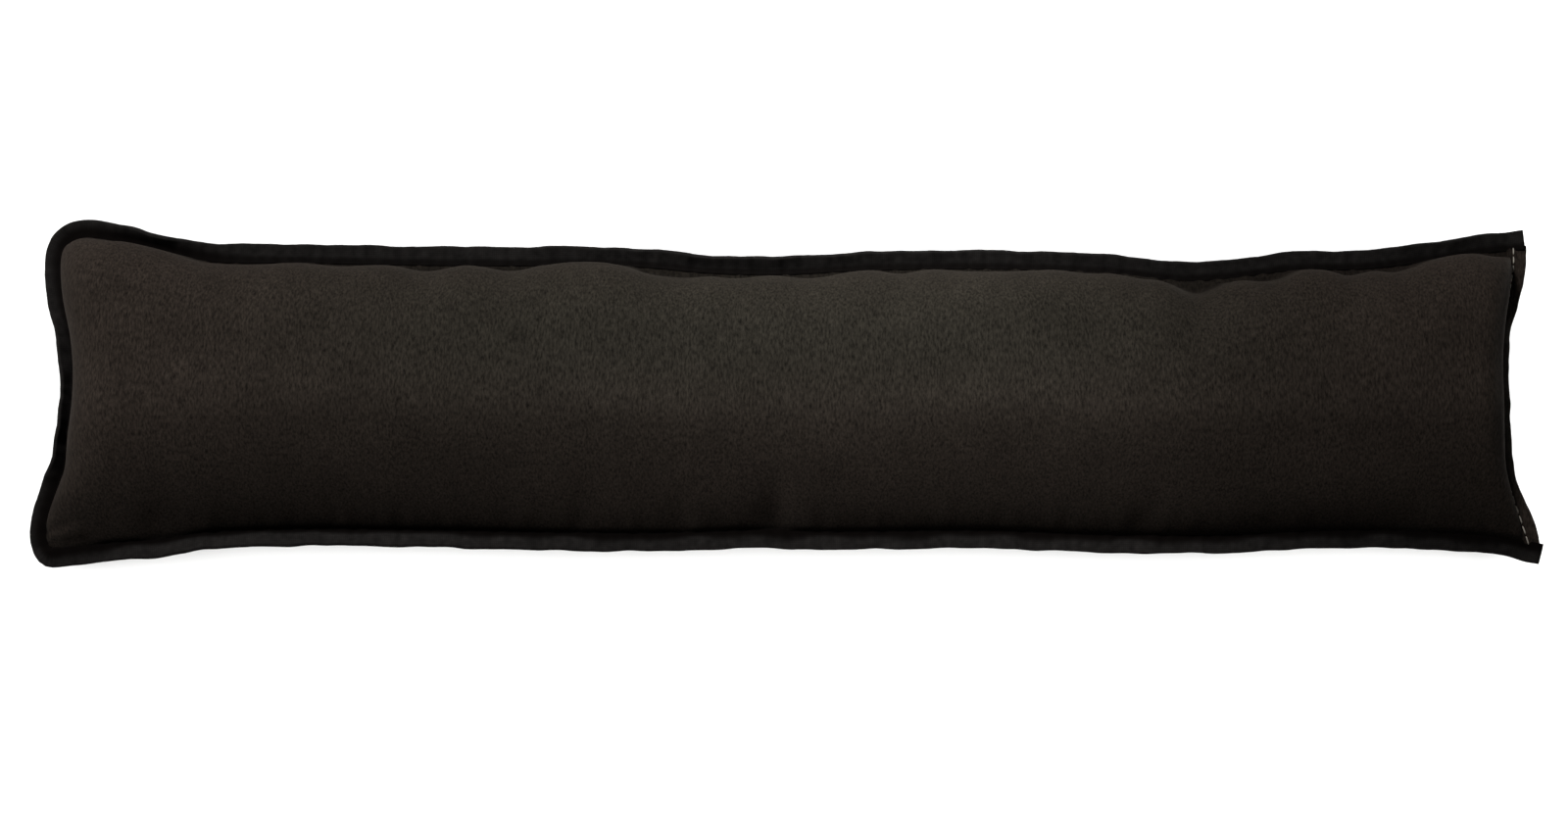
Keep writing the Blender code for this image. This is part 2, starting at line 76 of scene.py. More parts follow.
def linear(colour):
    """An sRGB hex colour such as "8a8a8a" in linear light."""
    parts = [int(colour[k:k + 2], 16) / 255 for k in (0, 2, 4)]
    return tuple(p / 12.92 if p <= 0.04045 else ((p + 0.055) / 1.055) ** 2.4 for p in parts)


def add_node(material, kind, links=(), **settings):
    """Add a shader node: its settings by name, its inputs by number, and (input, output) links."""
    node = material.node_tree.nodes.new(kind)
    for name, value in settings.items():
        if name.startswith("in_"):
            node.inputs[int(name[3:])].default_value = value
        else:
            setattr(node, name, value)
    for socket, source in links:
        material.node_tree.links.new(source, node.inputs[socket])
    return node


# Pale matt board: a hard sheet painted off-white.
BOARD_SIZE = 120.0
BOARD_DROP = 0.3 * MM
board_mesh = bpy.data.meshes.new("board")
half = BOARD_SIZE / 2
board_mesh.from_pydata([(-half, -half, -BOARD_DROP), (half, -half, -BOARD_DROP),
                        (half, half, -BOARD_DROP), (-half, half, -BOARD_DROP)], [], [(0, 1, 2, 3)])
board = bpy.data.objects.new("board", board_mesh)
scene.collection.objects.link(board)
board.visible_diffuse = False
board_paint = bpy.data.materials.new("off-white matt paint")
board_paint.use_nodes = True
board_paint.node_tree.nodes["Principled BSDF"].inputs["Base Color"].default_value = (*linear("f2f2f1"), 1)
board_paint.node_tree.nodes["Principled BSDF"].inputs["Roughness"].default_value = 0.9
board_mesh.materials.append(board_paint)

# Two lamps stand behind the cushion on the left. Their pools of light overlap on its left
# half and fade towards both ends, and neither lights the board. Each row has where the lamp
# is aimed, its turn from +Y towards -X and its lean from straight up in degrees, its
# distance and radius, its cone, how soft the cone's edge is, and its power.
LAMP_AIM_HEIGHT = 60 * MM
Lamp = namedtuple("Lamp", "x y around lean distance radius cone soft watts")
LAMPS = {
    "wide lamp": Lamp(0.40, 0.0, 39, 44, 1.6, 0.16, 52, 1.0, 58.5),
    "left lamp": Lamp(-0.33, 0.0, 39, 44, 1.6, 0.05, 32.5, 0.24, 80.0),
}
not_the_board = bpy.data.collections.new("lit by the lamps")
not_the_board.objects.link(board)
not_the_board.collection_objects[0].light_linking.link_state = "EXCLUDE"
for name, row in LAMPS.items():
    light = bpy.data.lights.new(name, "SPOT")
    light.spot_size = math.radians(row.cone)
    light.spot_blend = row.soft
    light.shadow_soft_size = row.radius
    light.energy = row.watts
    lamp = bpy.data.objects.new(name, light)
    around, lean = math.radians(row.around), math.radians(row.lean)
    towards = Vector((-math.sin(around) * math.sin(lean), math.cos(around) * math.sin(lean), math.cos(lean)))
    lamp.location = Vector((row.x, row.y, LAMP_AIM_HEIGHT)) + towards * row.distance
    lamp.rotation_euler = (-towards).to_track_quat("-Z", "Y").to_euler()
    lamp.light_linking.receiver_collection = not_the_board
    scene.collection.objects.link(lamp)

# The board has an even, very soft light of its own from straight above.
BOARD_LIGHT_SPREAD = math.radians(100)
BOARD_LIGHT_STRENGTH = 6.6
board_light = bpy.data.lights.new("board light", "SUN")
board_light.angle = BOARD_LIGHT_SPREAD
board_light.energy = BOARD_LIGHT_STRENGTH
overhead = bpy.data.objects.new("board light", board_light)
scene.collection.objects.link(overhead)
only_the_board = bpy.data.collections.new("lit from above")
only_the_board.objects.link(board)
overhead.light_linking.receiver_collection = only_the_board

# The room is dim where it lights the cushion, and white behind the board.
ROOM_LIGHT = 0.030
ROOM_BACKGROUND = 0.95
world = bpy.data.worlds.new("room")
scene.world = world
world.use_nodes = True
background = world.node_tree.nodes["Background"]
background.inputs["Color"].default_value = (1, 1, 1, 1)
seen = add_node(world, "ShaderNodeLightPath")
strength = add_node(world, "ShaderNodeMapRange", [(0, seen.outputs["Is Camera Ray"])],
                    in_3=ROOM_LIGHT, in_4=ROOM_BACKGROUND)
world.node_tree.links.new(strength.outputs[0], background.inputs["Strength"])

# Filled body: two panels of brushed felt-like cloth, sewn together all round and filled
# with loose fibre, which lies towards the back: a lean slope at the front, a full
# shoulder at the back and ends, and soft dimples where the seam is gathered.
LENGTH = 900 * MM
WIDTH = 211 * MM
SEAM_HEIGHT = 36 * MM
CROWN = 45 * MM
BELLY = 44 * MM
CORNER_DROP = 9 * MM
CORNER_REACH = 42 * MM
FLOOR_ROUND = 3 * MM
FRONT_SLOPE = 2.45
FRONT_SHARE = 0.66
KNEE_START = 0.09
KNEE_LENGTH = 0.12
BACK_SHOULDER = 2.6
HALF_FACE = 80 * MM
END_SHOULDER = 2.0
LOWER_SLOPE = 1.5
LEFT_ROUND = 36 * MM
RIGHT_ROUND = 20 * MM
LOWER_ROUND = 74 * MM
THIN_FROM = 0.74
THINNING = 0.12
VALLEY_DEPTH = 2.6 * MM
VALLEY_PLACE = 15 * MM
VALLEY_HALF_WIDTH = 24 * MM
SEAM_WALL = 2.2 * MM
WELT_WIDTH = 10.5 * MM
CLOSING_WIDTH = 10.0 * MM
HINGE = 4 * MM

# The outer edge of each side: the place along it, how far it is drawn in from the flat
# cushion there, and how far the sewn strip hangs from level; below 0 it stands up.
# Millimetres and degrees. A separate script turned points read off the photograph into
# these millimetres, and they were corrected by hand.
EdgeRow = namedtuple("EdgeRow", "along drawn_in hang")
BACK_EDGE = [
    EdgeRow(-450, 1.0, -4), EdgeRow(-420, 0.0, -8), EdgeRow(-400, 5.2, -38), EdgeRow(-374, 12.6, -50),
    EdgeRow(-354, 15.4, -24), EdgeRow(-292, 17.0, -12), EdgeRow(-230, 18.2, -10), EdgeRow(-160, 18.7, -12),
    EdgeRow(-123, 18.9, -24), EdgeRow(-80, 21.0, -32), EdgeRow(-44, 24.8, -38), EdgeRow(0, 25.2, -34),
    EdgeRow(44, 22.6, -28), EdgeRow(123, 21.2, -22), EdgeRow(202, 24.4, -22), EdgeRow(241, 28.2, -16),
    EdgeRow(264, 26.8, -12), EdgeRow(305, 21.6, -8), EdgeRow(347, 20.4, -8), EdgeRow(388, 15.8, -22),
    EdgeRow(405, 12.9, -24), EdgeRow(422, 9.6, -8), EdgeRow(450, 6.4, -2),
]
FRONT_EDGE = [
    EdgeRow(-450, 0.2, 22), EdgeRow(-436, 0.4, 22), EdgeRow(-404, 3.2, 8), EdgeRow(-372, 5.4, -10),
    EdgeRow(-348, 9.2, -18), EdgeRow(-290, 12.0, -22), EdgeRow(-208, 11.2, -20), EdgeRow(-147, 9.6, -2),
    EdgeRow(-66, 9.4, 12), EdgeRow(-18, 11.0, 12), EdgeRow(17, 10.2, 12), EdgeRow(119, 10.9, 12),
    EdgeRow(201, 8.0, 12), EdgeRow(258, 8.2, 14), EdgeRow(332, 11.4, 16), EdgeRow(385, 10.4, 20),
    EdgeRow(415, 8.8, 22), EdgeRow(436, 5.6, 20), EdgeRow(450, 2.2, 18),
]
LEFT_EDGE = [
    EdgeRow(-105, -0.6, 22), EdgeRow(-86, 0.0, 24), EdgeRow(-74, 1.8, 8), EdgeRow(-60, 7.2, -14),
    EdgeRow(-46, 13.8, -36), EdgeRow(-30, 16.8, -54), EdgeRow(-10, 18.7, -50), EdgeRow(10, 18.2, -46),
    EdgeRow(31, 15.0, -40), EdgeRow(52, 8.2, -20), EdgeRow(70, 4.6, -8), EdgeRow(105, 3.6, -4),
]
RIGHT_EDGE = [
    EdgeRow(-105, 0.9, 2), EdgeRow(-92, 0.0, 4), EdgeRow(-80, 3.0, 10), EdgeRow(-64, 9.6, 34),
    EdgeRow(-48, 15.2, 46), EdgeRow(-28, 16.5, 46), EdgeRow(-8, 16.6, 47), EdgeRow(18, 16.3, 50),
    EdgeRow(40, 13.3, 50), EdgeRow(58, 7.2, 28), EdgeRow(74, 3.0, 10), EdgeRow(105, 4.2, 4),
]

# How far the face's full shoulder stands in from the back seam: a narrow ledge of flat
# cloth, widest where the seam is gathered. Millimetres. The values aren't free choices:
# they follow a separate script's comparison of the photograph and a render, smoothed a little.
LedgeRow = namedtuple("LedgeRow", "along ledge")
LEDGE = [
    LedgeRow(-450, 2.5), LedgeRow(-412, 1.6), LedgeRow(-385, 0.3), LedgeRow(-366, 0.6), LedgeRow(-345, 2.8),
    LedgeRow(-310, 3.2), LedgeRow(-293, 2.0), LedgeRow(-268, 3.6), LedgeRow(-235, 2.8), LedgeRow(-214, 6.2),
    LedgeRow(-190, 2.4), LedgeRow(-163, 5.6), LedgeRow(-140, 1.6), LedgeRow(-100, 1.2), LedgeRow(-80, 6.2),
    LedgeRow(-62, 6.6), LedgeRow(-45, 4.4), LedgeRow(-30, 5.2), LedgeRow(-10, 3.2), LedgeRow(16, 5.4),
    LedgeRow(54, 2.7), LedgeRow(68, 5.2), LedgeRow(86, 3.0), LedgeRow(103, 4.3), LedgeRow(142, 4.0),
    LedgeRow(160, 2.8), LedgeRow(181, 4.3), LedgeRow(195, 3.4), LedgeRow(212, 4.8), LedgeRow(226, 4.6),
    LedgeRow(243, 11.4), LedgeRow(266, 5.4), LedgeRow(295, 7.2), LedgeRow(306, 2.6), LedgeRow(322, 2.6),
    LedgeRow(338, 6.2), LedgeRow(350, 3.8), LedgeRow(366, 6.0), LedgeRow(384, 1.6), LedgeRow(400, 0.3),
    LedgeRow(412, 1.0), LedgeRow(426, 4.4), LedgeRow(450, 4.4),
]

# The rounded corners at the left end: how much of each side the curve takes, on the
# seam, and how full it is (1 is round, lower cuts the corner straighter).
Corner = namedtuple("Corner", "long_side short_side fullness")
BACK_LEFT = Corner(16 * MM, 15 * MM, 1.0)
FRONT_LEFT = Corner(5 * MM, 11 * MM, 0.45)

# Where the seam gathers the cloth: the side and the place along it, then the depth of
# the dimple, half its width along the seam, and how far in from the seam it is deepest.
Pucker = namedtuple("Pucker", "side along depth half_width reach")
PUCKERS = [
    Pucker("back", -361, 1.6, 14, 9), Pucker("back", -214, 1.6, 10, 9), Pucker("back", -163, 1.4, 9, 9),
    Pucker("back", -68, 2.4, 18, 12), Pucker("back", 14, 1.4, 12, 9), Pucker("back", 68, 0.9, 8, 8),
    Pucker("back", 212, 0.9, 10, 9), Pucker("back", 245, 6.0, 16, 15), Pucker("back", 294, 1.8, 9, 9),
    Pucker("back", 338, 1.8, 9, 9), Pucker("back", 366, 1.6, 9, 9), Pucker("back", 424, 1.4, 12, 9),
    Pucker("front", -366, 3.0, 15, 12), Pucker("front", -117, 0.5, 10, 8), Pucker("front", -6, 1.8, 8, 8),
    Pucker("front", -62, 0.7, 8, 7), Pucker("front", 213, 1.0, 11, 9), Pucker("front", 286, 0.8, 11, 8),
    Pucker("front", 368, 1.2, 12, 8),
]

# Soft troughs in the upper face, from one end to the other, and broad swells of filling.
# The swells weren't chosen by hand: a separate script's least-squares fit to the shading
# in the photograph gave 13 of the 14 rows, rounded, and two of its rows make up the other.
TROUGH_FADE = 0.7
Trough = namedtuple("Trough", "x0 y0 x1 y1 depth half_width")
TROUGHS = [
    Trough(248, 66, 268, 26, 4.5, 11),
    Trough(-6, -78, -2, -48, 1.1, 8),
    Trough(-118, -76, -112, -50, 0.4, 9),
    Trough(-62, -74, -58, -54, 0.6, 8),
    Trough(214, -76, 222, -54, 0.5, 9),
    Trough(-442, -85, -414, -78, 1.8, 2.8),
    Trough(-438, -92, -408, -89, 1.4, 2.6),
]
Swell = namedtuple("Swell", "x y height half_length half_width")
SWELLS = [
    Swell(-380, 35, -3.6, 99, 54), Swell(-324, -6, 1.4, 43, 20), Swell(-209, -32, 1.3, 69, 27),
    Swell(-78, 3, -2.9, 99, 54), Swell(-45, -57, -1.5, 61, 20), Swell(34, -13, -3.6, 73, 20),
    Swell(86, 31, 2.1, 61, 23), Swell(112, 30, 2.4, 35, 54), Swell(116, -20, 1.9, 24, 24),
    Swell(194, -28, 2.8, 99, 26), Swell(198, 46, -4.2, 36, 34), Swell(302, 47, -2.1, 38, 54),
    Swell(306, 49, -1.9, 39, 26), Swell(382, 0, 2.2, 42, 34),
]


def read_row(rows, column, at):
    """A cubic through one column of an edge table, with the neighbours' mean slope at each row."""
    places = np.array([row.along for row in rows]) * MM
    values = np.array([getattr(row, column) for row in rows], float)
    slopes = np.gradient(values, places)
    at = np.clip(at, places[0], places[-1])
    k = np.clip(np.searchsorted(places, at) - 1, 0, len(places) - 2)
    span = places[k + 1] - places[k]
    t = (at - places[k]) / span
    start = (1 + 2 * t) * (1 - t) ** 2 * values[k] + t * (1 - t) ** 2 * span * slopes[k]
    return start + t * t * (3 - 2 * t) * values[k + 1] + t * t * (t - 1) * span * slopes[k + 1]


def strip_line(hang, r):
    """A strip end on: its angle grows to `hang` over the hinge length, and its run is summed.

    For an angle a = h r / hinge, the sums are sin(a) hinge / h outwards and
    (1 - cos(a)) hinge / h downwards, and straight on past the hinge.
    """
    h = np.where(np.abs(hang) < 1e-6, 1e-6, hang)
    bent = np.clip(r / HINGE, 0, 1) * h
    straight = np.maximum(r - HINGE, 0)
    out = np.sin(bent) * HINGE / h + straight * np.cos(h) + np.minimum(r, 0)
    down = (1 - np.cos(bent)) * HINGE / h + straight * np.sin(h)
    return bent, out, down


def seam_place(rows, at, half_size, width):
    """How far from the middle line the seam runs: the outer edge less the strip's reach."""
    hang = np.radians(read_row(rows, "hang", at))
    return half_size - read_row(rows, "drawn_in", at) * MM - strip_line(hang, width)[1]


def back_seam(x):
    return seam_place(BACK_EDGE, x, WIDTH / 2, WELT_WIDTH)


def front_seam(x):
    return -seam_place(FRONT_EDGE, x, WIDTH / 2, WELT_WIDTH)


def left_seam(y):
    return -seam_place(LEFT_EDGE, y, LENGTH / 2, WELT_WIDTH)


def right_seam(y):
    return seam_place(RIGHT_EDGE, y, LENGTH / 2, CLOSING_WIDTH)


def meeting_point(long_seam, short_seam, x, y):
    """Where a long seam and an end seam would meet in a sharp corner."""
    for _ in range(12):
        y = float(long_seam(np.array(x)))
        x = float(short_seam(np.array(y)))
    return np.array((x, y))


def corner_curve(start, corner, end, fullness, count=17):
    """A conic from one side of a corner to the other, pulled towards the corner."""
    t = np.linspace(0, 1, count)[:, None]
    a, c, b = (1 - t) ** 2, 2 * t * (1 - t) * fullness, t * t
    return (a * start + c * corner + b * end) / (a + c + b)


LONG_SIDE_POINTS = 800
LEFT_SIDE_POINTS = 160


def seam_path():
    """The welt's seam, from the right-hand tip of the back, round the left, to the front's."""
    back_left = meeting_point(back_seam, left_seam, -LENGTH / 2, WIDTH / 2)
    front_left = meeting_point(front_seam, left_seam, -LENGTH / 2, -WIDTH / 2)
    tip_back = LENGTH / 2 - read_row(RIGHT_EDGE, "drawn_in", WIDTH / 2 - WELT_WIDTH) * MM
    tip_front = LENGTH / 2 - read_row(RIGHT_EDGE, "drawn_in", -WIDTH / 2 + WELT_WIDTH) * MM
    x_back = np.linspace(tip_back, back_left[0] + BACK_LEFT.long_side, LONG_SIDE_POINTS)
    y_left = np.linspace(back_left[1] - BACK_LEFT.short_side, front_left[1] + FRONT_LEFT.short_side,
                         LEFT_SIDE_POINTS)
    x_front = np.linspace(front_left[0] + FRONT_LEFT.long_side, tip_front, LONG_SIDE_POINTS)
    back = np.stack((x_back, back_seam(x_back)), axis=-1)
    left = np.stack((left_seam(y_left), y_left), axis=-1)
    front = np.stack((x_front, front_seam(x_front)), axis=-1)
    turn_back = corner_curve(back[-1], back_left, left[0], BACK_LEFT.fullness)
    turn_front = corner_curve(left[-1], front_left, front[0], FRONT_LEFT.fullness)
    path = np.concatenate((back, turn_back[1:-1], left, turn_front[1:-1], front))
    middle_back = len(back) + len(turn_back) // 2 - 1
    middle_front = len(back) + len(turn_back) - 2 + len(left) + len(turn_front) // 2 - 1
    return path, middle_back, middle_front


PATH, BACK_LEFT_AT, FRONT_LEFT_AT = seam_path()
BACK_RIGHT_POINT = meeting_point(back_seam, right_seam, LENGTH / 2, WIDTH / 2)
FRONT_RIGHT_POINT = meeting_point(front_seam, right_seam, LENGTH / 2, -WIDTH / 2)


def seam_height(x, y):
    """The seam is level along the sides and drops, exponentially, towards the four corners."""
    drop = 0
    for corner in (PATH[BACK_LEFT_AT], PATH[FRONT_LEFT_AT], BACK_RIGHT_POINT, FRONT_RIGHT_POINT):
        drop = drop + np.exp(-np.hypot(x - corner[0], y - corner[1]) / CORNER_REACH)
    return SEAM_HEIGHT - CORNER_DROP * drop


def body_plan(u, v):
    """A Coons patch between the four seams: u from left to right, v from front to back."""
    back = PATH[:BACK_LEFT_AT + 1][::-1]
    left = PATH[BACK_LEFT_AT:FRONT_LEFT_AT + 1][::-1]
    front = PATH[FRONT_LEFT_AT:]
    x_back = back[0, 0] + (BACK_RIGHT_POINT[0] - back[0, 0]) * u
    x_front = front[0, 0] + (FRONT_RIGHT_POINT[0] - front[0, 0]) * u
    y_back = np.interp(x_back, back[:, 0], back[:, 1])
    y_front = np.interp(x_front, front[:, 0], front[:, 1])
    y_left = left[0, 1] + (left[-1, 1] - left[0, 1]) * v
    y_right = FRONT_RIGHT_POINT[1] + (BACK_RIGHT_POINT[1] - FRONT_RIGHT_POINT[1]) * v
    x_left = np.interp(y_left, left[:, 1], left[:, 0])
    x_right = right_seam(y_right)
    x = x_left * (1 - u) + x_right * u
    y = y_front * (1 - v) + y_back * v
    x += x_front * (1 - v) + x_back * v
    y += y_left * (1 - u) + y_right * u
    x -= (front[0, 0] * (1 - u) + FRONT_RIGHT_POINT[0] * u) * (1 - v)
    x -= (back[0, 0] * (1 - u) + BACK_RIGHT_POINT[0] * u) * v
    y -= (front[0, 1] * (1 - u) + FRONT_RIGHT_POINT[1] * u) * (1 - v)
    y -= (back[0, 1] * (1 - u) + BACK_RIGHT_POINT[1] * u) * v
    return x, y


def pucker_dimples(x, y):
    """Each gather is a bell along the seam, times r e^(1-r) inwards, r being 1 where deepest."""
    to_back = np.maximum(back_seam(x) - y, 0)
    to_front = np.maximum(y - front_seam(x), 0)
    total = 0
    for pucker in PUCKERS:
        inward = (to_back if pucker.side == "back" else to_front) / (pucker.reach * MM)
        across = (x - pucker.along * MM) / (pucker.half_width * MM)
        total = total + pucker.depth * MM * np.exp(-across ** 2) * inward * np.exp(1 - inward)
    return total


def trough_depth(x, y):
    """Each crease is a bell across its line, fading as a cosine towards its far end."""
    total = 0
    for trough in TROUGHS:
        start = np.array((trough.x0, trough.y0)) * MM
        run = np.array((trough.x1, trough.y1)) * MM - start
        along = ((x - start[0]) * run[0] + (y - start[1]) * run[1]) / (run @ run)
        along = np.clip(along, 0, 1)
        off = np.hypot(x - start[0] - along * run[0], y - start[1] - along * run[1])
        fade = np.cos(along * math.pi / 2) ** TROUGH_FADE
        total = total + trough.depth * MM * fade * np.exp(-(off / (trough.half_width * MM)) ** 2)
    return total


def swell_height(x, y):
    """The filling's broad lumps, each a two-way bell."""
    total = 0
    for swell in SWELLS:
        far = ((x / MM - swell.x) / swell.half_length) ** 2 + ((y / MM - swell.y) / swell.half_width) ** 2
        total = total + swell.height * MM * np.exp(-far)
    return total


def shoulder(place, squareness):
    """A quarter of a superellipse: 1 at place 0, falling to 0 at the seam, place 1."""
    return (1 - np.clip(place, 0, 1) ** squareness) ** (1 / squareness)


def pulled_in(x):
    """How far the back shoulder stands in from the seam."""
    return read_row(LEDGE, "ledge", x) * MM


def eased_run(t):
    """A slope that starts over the knee's length: its smoothstep, summed, and then straight on."""
    c = np.clip((t - KNEE_START) / KNEE_LENGTH, 0, 1)
    return KNEE_LENGTH * (c ** 3 - c ** 4 / 2) + np.maximum(t - KNEE_START - KNEE_LENGTH, 0)


def front_slope(t):
    """1 on the middle line, t = 0, falling to 0 at the seam: a power of t and the eased run."""
    return 1 - FRONT_SHARE * t ** FRONT_SLOPE - (1 - FRONT_SHARE) * eased_run(t) / eased_run(1)


def upper_rise(u, turn, x):
    """The crown's share: the front slope, and shoulders at the back and ends."""
    across = np.cos(turn)
    back = shoulder(-across * (1 + pulled_in(x) / HALF_FACE), BACK_SHOULDER)
    across = np.where(across > 0, front_slope(np.clip(across, 0, 1)), back)
    left = shoulder(1 - u * LENGTH / LEFT_ROUND, END_SHOULDER)
    right = shoulder(1 - (1 - u) * LENGTH / RIGHT_ROUND, END_SHOULDER)
    thin = 1 - THINNING * np.clip((u - THIN_FROM) / (1 - THIN_FROM), 0, 1)
    return across * left * right * thin


def lower_rise(u, turn):
    """The belly's share: a power of sine across and an ellipse at the ends."""
    from_end = np.clip(np.minimum(u, 1 - u) * LENGTH / LOWER_ROUND, 0, 1)
    return np.sin(turn) ** LOWER_SLOPE * shoulder(1 - from_end, 2)


# The small gathers along the long seams, on both faces: their depth, how far they reach,
# and the sines that make them up, by length in millimetres and share of the side's shift.
GATHER_DEPTH = 0.22 * MM
GATHER_REACH = 9 * MM
GATHER_WAVES = ((8.3, 1.0), (13.1, 2.1), (20.7, 0.6))
FRONT_GATHER_SHIFT = 1.7


def small_gathers(x, y):
    """Three sines of 8, 13 and 21 mm along the seam, times r e^(1-r) inwards."""
    total = 0
    for inward, shift in ((back_seam(x) - y, 0.0), (y - front_seam(x), FRONT_GATHER_SHIFT)):
        r = np.maximum(inward, 0) / GATHER_REACH * 2
        wave = sum(np.sin(x * 2 * math.pi / (length * MM) + part * shift) for length, part in GATHER_WAVES)
        total = total + GATHER_DEPTH * wave * r * np.exp(1 - r)
    return total


# The closed end bulges a little over its seam where the edge hangs, by 4 to 54 degrees. The
# faces dip into the seam on both sides of the strip that is sewn between them.
OVERHANG = 0.5 * MM
OVERHANG_FROM = 4
OVERHANG_SPAN = 50
DITCH = 0.8 * MM
DITCH_REACH = 2.6 * MM


def from_seam(x, y):
    """The plan distance to the nearest of the four seams."""
    sides = (back_seam(x) - y, y - front_seam(x), x - left_seam(y), right_seam(y) - x)
    shape = np.broadcast(x, y).shape
    return np.maximum(np.minimum.reduce([np.broadcast_to(side, shape) for side in sides]), 0)


# The body's grid: its steps across each face, in each rounded end and along the middle.
ACROSS = 54
END_STEPS = 20
LONG_STEPS = 150
SEAM_CLOSER = 0.11
END_CLOSER = 1.2
END_SHARE = LOWER_ROUND / LENGTH
SECTION_POINTS = 4001


def face_turns(count):
    """Turns from 0 to half a circle: even lengths of the section, s - c sin(2 pi s) at the seams."""
    turn = np.linspace(0, math.pi, SECTION_POINTS)
    across = -np.cos(turn) * HALF_FACE
    up = CROWN * upper_rise(0.5, turn, 0.0)
    run = np.concatenate(([0], np.cumsum(np.hypot(np.diff(across), np.diff(up)))))
    share = np.linspace(0, 1, count + 1)
    share = share - SEAM_CLOSER * np.sin(2 * math.pi * share)
    return np.interp(share * run[-1], run, turn)


def body_face(upper):
    """One face: the plan, with the height that the rise gives, less the dimples and troughs."""
    ends = END_SHARE * (1 - np.cos(np.linspace(0, math.pi / 2, END_STEPS + 1))) ** END_CLOSER
    middle = np.linspace(END_SHARE, 1 - END_SHARE, LONG_STEPS + 1)[1:-1]
    u = np.concatenate((ends, middle, 1 - ends[::-1]))[:, None]
    turn = face_turns(ACROSS)[None, :]
    x, y = body_plan(u, (1 - np.cos(turn)) / 2)
    seam = seam_height(x, y)
    dimples = pucker_dimples(x, y) + small_gathers(x, y)
    if upper:
        rise = upper_rise(u, turn, x)
        valley = VALLEY_DEPTH * np.exp(-((y - VALLEY_PLACE) / VALLEY_HALF_WIDTH) ** 2)
        relief = (swell_height(x, y) - valley) * rise - dimples - trough_depth(x, y)
        z = seam + SEAM_WALL / 2 + np.maximum(CROWN * rise + relief * (rise > 0), 0)
        wall = shoulder(1 - (1 - u) * LENGTH / RIGHT_ROUND, END_SHOULDER)
        drawn = np.clip((read_row(RIGHT_EDGE, "hang", y) - OVERHANG_FROM) / OVERHANG_SPAN, 0, 1)
        z = z - DITCH * np.exp(-((z - seam) / DITCH_REACH) ** 2 - (from_seam(x, y) / DITCH_REACH) ** 2)
        x = x + OVERHANG * drawn * 4 * wall * (1 - wall) * (u > 0.5)
    else:
        rise = lower_rise(u, turn)
        z = seam - SEAM_WALL / 2 - np.maximum(BELLY * rise - dimples * (rise > 0), 0)
        near_floor = np.maximum(z + FLOOR_ROUND, 0) ** 2 / (4 * FLOOR_ROUND)
        z = np.where(z < FLOOR_ROUND, near_floor, z)
    return np.stack(np.broadcast_arrays(x, y, z), axis=-1)


def grid_quads(rows, columns, first=0):
    """The four-sided faces of a grid of points that is stored row after row."""
    i, j = np.meshgrid(np.arange(rows - 1), np.arange(columns - 1), indexing="ij")
    a = (first + i * columns + j).ravel()
    return np.stack((a, a + columns, a + columns + 1, a + 1), axis=-1)


def border(rows, columns):
    """The numbers of a grid's outer points, once round."""
    near = np.arange(rows) * columns
    far = np.arange(columns - 1) + (rows - 1) * columns + 1
    back = (np.arange(rows - 1) * columns + columns - 1)[::-1]
    home = np.arange(columns - 2, 0, -1)
    return np.concatenate((near, far, back, home))


def mesh_object(name, points, faces):
    """A smooth-shaded object from an array of points and a list of faces."""
    mesh = bpy.data.meshes.new(name)
    mesh.from_pydata(np.asarray(points).tolist(), [], [[int(k) for k in face] for face in faces])
    mesh.shade_smooth()
    obj = bpy.data.objects.new(name, mesh)
    scene.collection.objects.link(obj)
    return obj


upper = body_face(True)
lower = body_face(False)
rows, columns = upper.shape[:2]
count = rows * columns
body_points = np.concatenate((upper.reshape(-1, 3), lower.reshape(-1, 3)))
top_rim = border(rows, columns)
low_rim = top_rim + count
body_box = np.array(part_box("filled_body"))
rim_plan = body_points[top_rim, :2]
SHIFT = np.append(body_box[:, :2].mean(axis=0) - (rim_plan.min(axis=0) + rim_plan.max(axis=0)) / 2, 0)
body_points += SHIFT
wall = np.stack((top_rim, np.roll(top_rim, -1), np.roll(low_rim, -1), low_rim), axis=-1)
body_faces = np.concatenate((grid_quads(rows, columns), grid_quads(rows, columns, count)[:, ::-1],
                             wall[:, ::-1]))
body = mesh_object("felt_body", body_points, body_faces)


def store_shade_and_wear(obj, name, share):
    """Store a share, 0 to 1, at each point: "seam" for painted shade by the seams, "faded" where it is worn.
    """
    layer = obj.data.attributes.new(name, "FLOAT", "POINT")
    layer.data.foreach_set("value", np.clip(share, 0, 1).ravel())


# Shade is painted into the felt's colour along the seams, further in where they are gathered,
# and in the front left ear. It is worn a little greyer on the middle of the face.
SHADE_REACH = 4.5 * MM
BACK_SHADE = 0.72
FRONT_GATHER_REACH = 8 * MM
FRONT_GATHER_SHADE = 2.0
EAR_PLACE = np.array((-436, -72)) * MM
EAR_REACH = 26 * MM
EAR_SHADE = 0.5
FADED_HALF_LENGTH = 300 * MM
FADED_PLACE = 30 * MM
FADED_HALF_WIDTH = 55 * MM
plan = body_points - SHIFT
over_seam = (plan[:, 2] - seam_height(plan[:, 0], plan[:, 1])) / SHADE_REACH
gathered = pucker_dimples(plan[:, 0], front_seam(plan[:, 0]) + FRONT_GATHER_REACH)
reach = SHADE_REACH + np.where(plan[:, 1] > 0, pulled_in(plan[:, 0]), gathered * FRONT_GATHER_SHADE)
shade = np.exp(-over_seam ** 2 - (from_seam(plan[:, 0], plan[:, 1]) / reach) ** 4)
from_ear = np.hypot(plan[:, 0] - EAR_PLACE[0], plan[:, 1] - EAR_PLACE[1]) / EAR_REACH
